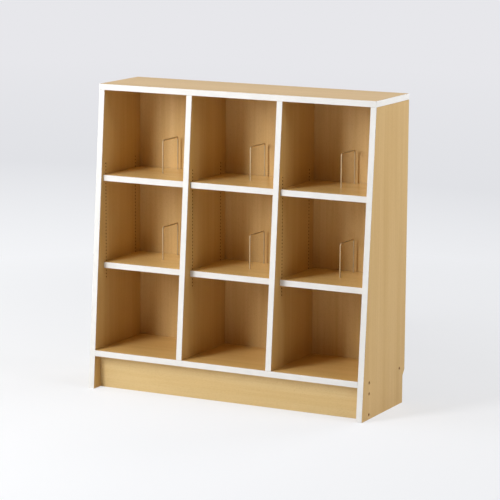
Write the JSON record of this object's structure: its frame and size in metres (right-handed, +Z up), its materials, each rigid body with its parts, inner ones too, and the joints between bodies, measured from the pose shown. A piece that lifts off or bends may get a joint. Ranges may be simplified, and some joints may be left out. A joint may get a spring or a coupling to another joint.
{
  "type": "bookcase",
  "caption": "Low open bookcase with a raked front, white edging, lift-out shelves on pins, wire bookends, a recessed kick plate and a baseboard notch.",
  "frame": {"origin": "on the floor, at the centre of the footprint", "axes": "+Z up, +X to the right of someone who faces the open front, +Y to the rear"},
  "size_m": [0.89, 0.295, 0.9],
  "materials": {
    "laminate": "satin light beech laminate with fine straight grain",
    "backing": "printed thin board in the same beech tone",
    "white_edging": "smooth white edge band",
    "chrome": "bright plated round wire",
    "pin_steel": "plain turned steel",
    "bronzed_screw": "bronzed screw head with a hex socket"
  },
  "bodies": {
    "carcass": {"back_panel_left": "backing", "back_panel_middle": "backing", "back_panel_right": "backing", "bottom_edge": "white_edging", "bottom_panel": "laminate", "divider_edge_left": "white_edging", "divider_edge_right": "white_edging", "divider_left": "laminate", "divider_right": "laminate", "kick_plate": "laminate", "pin_divider_left_lower_front": "pin_steel", "pin_divider_left_lower_rear": "pin_steel", "pin_divider_left_upper_front": "pin_steel", "pin_divider_left_upper_rear": "pin_steel", "pin_divider_right_lower_front": "pin_steel", "pin_divider_right_lower_rear": "pin_steel", "pin_divider_right_upper_front": "pin_steel", "pin_divider_right_upper_rear": "pin_steel", "pin_side_left_lower_front": "pin_steel", "pin_side_left_lower_rear": "pin_steel", "pin_side_left_upper_front": "pin_steel", "pin_side_left_upper_rear": "pin_steel", "pin_side_right_lower_front": "pin_steel", "pin_side_right_lower_rear": "pin_steel", "pin_side_right_upper_front": "pin_steel", "pin_side_right_upper_rear": "pin_steel", "screw_left_bottom_front": "bronzed_screw", "screw_left_bottom_rear": "bronzed_screw", "screw_left_kick_high": "bronzed_screw", "screw_left_kick_low": "bronzed_screw", "screw_right_bottom_front": "bronzed_screw", "screw_right_bottom_rear": "bronzed_screw", "screw_right_kick_high": "bronzed_screw", "screw_right_kick_low": "bronzed_screw", "side_edge_left": "white_edging", "side_edge_right": "white_edging", "side_left": "laminate", "side_right": "laminate", "top_edge_front": "white_edging", "top_edge_left": "white_edging", "top_edge_right": "white_edging", "top_panel": "laminate"},
    "upper_left_shelf": {"shelf_upper_left": "laminate", "shelf_edge_upper_left": "white_edging"},
    "upper_left_bookend": {"bookend_upper_left": "chrome"},
    "upper_middle_shelf": {"shelf_upper_middle": "laminate", "shelf_edge_upper_middle": "white_edging"},
    "upper_middle_bookend": {"bookend_upper_middle": "chrome"},
    "upper_right_shelf": {"shelf_upper_right": "laminate", "shelf_edge_upper_right": "white_edging"},
    "upper_right_bookend": {"bookend_upper_right": "chrome"},
    "lower_left_shelf": {"shelf_lower_left": "laminate", "shelf_edge_lower_left": "white_edging"},
    "lower_left_bookend": {"bookend_lower_left": "chrome"},
    "lower_middle_shelf": {"shelf_lower_middle": "laminate", "shelf_edge_lower_middle": "white_edging"},
    "lower_middle_bookend": {"bookend_lower_middle": "chrome"},
    "lower_right_shelf": {"shelf_lower_right": "laminate", "shelf_edge_lower_right": "white_edging"},
    "lower_right_bookend": {"bookend_lower_right": "chrome"}
  },
  "joints": [
    {"name": "upper_left_shelf_lift", "type": "slide", "parent": "carcass", "child": "upper_left_shelf", "axis": [0, 0, 1], "range_m": [0, 0.05]},
    {"name": "upper_left_bookend_lift", "type": "slide", "parent": "upper_left_shelf", "child": "upper_left_bookend", "axis": [0, 0, 1], "range_m": [0, 0.08]},
    {"name": "upper_middle_shelf_lift", "type": "slide", "parent": "carcass", "child": "upper_middle_shelf", "axis": [0, 0, 1], "range_m": [0, 0.05]},
    {"name": "upper_middle_bookend_lift", "type": "slide", "parent": "upper_middle_shelf", "child": "upper_middle_bookend", "axis": [0, 0, 1], "range_m": [0, 0.08]},
    {"name": "upper_right_shelf_lift", "type": "slide", "parent": "carcass", "child": "upper_right_shelf", "axis": [0, 0, 1], "range_m": [0, 0.05]},
    {"name": "upper_right_bookend_lift", "type": "slide", "parent": "upper_right_shelf", "child": "upper_right_bookend", "axis": [0, 0, 1], "range_m": [0, 0.08]},
    {"name": "lower_left_shelf_lift", "type": "slide", "parent": "carcass", "child": "lower_left_shelf", "axis": [0, 0, 1], "range_m": [0, 0.05]},
    {"name": "lower_left_bookend_lift", "type": "slide", "parent": "lower_left_shelf", "child": "lower_left_bookend", "axis": [0, 0, 1], "range_m": [0, 0.08]},
    {"name": "lower_middle_shelf_lift", "type": "slide", "parent": "carcass", "child": "lower_middle_shelf", "axis": [0, 0, 1], "range_m": [0, 0.05]},
    {"name": "lower_middle_bookend_lift", "type": "slide", "parent": "lower_middle_shelf", "child": "lower_middle_bookend", "axis": [0, 0, 1], "range_m": [0, 0.08]},
    {"name": "lower_right_shelf_lift", "type": "slide", "parent": "carcass", "child": "lower_right_shelf", "axis": [0, 0, 1], "range_m": [0, 0.05]},
    {"name": "lower_right_bookend_lift", "type": "slide", "parent": "lower_right_shelf", "child": "lower_right_bookend", "axis": [0, 0, 1], "range_m": [0, 0.08]}
  ]
}
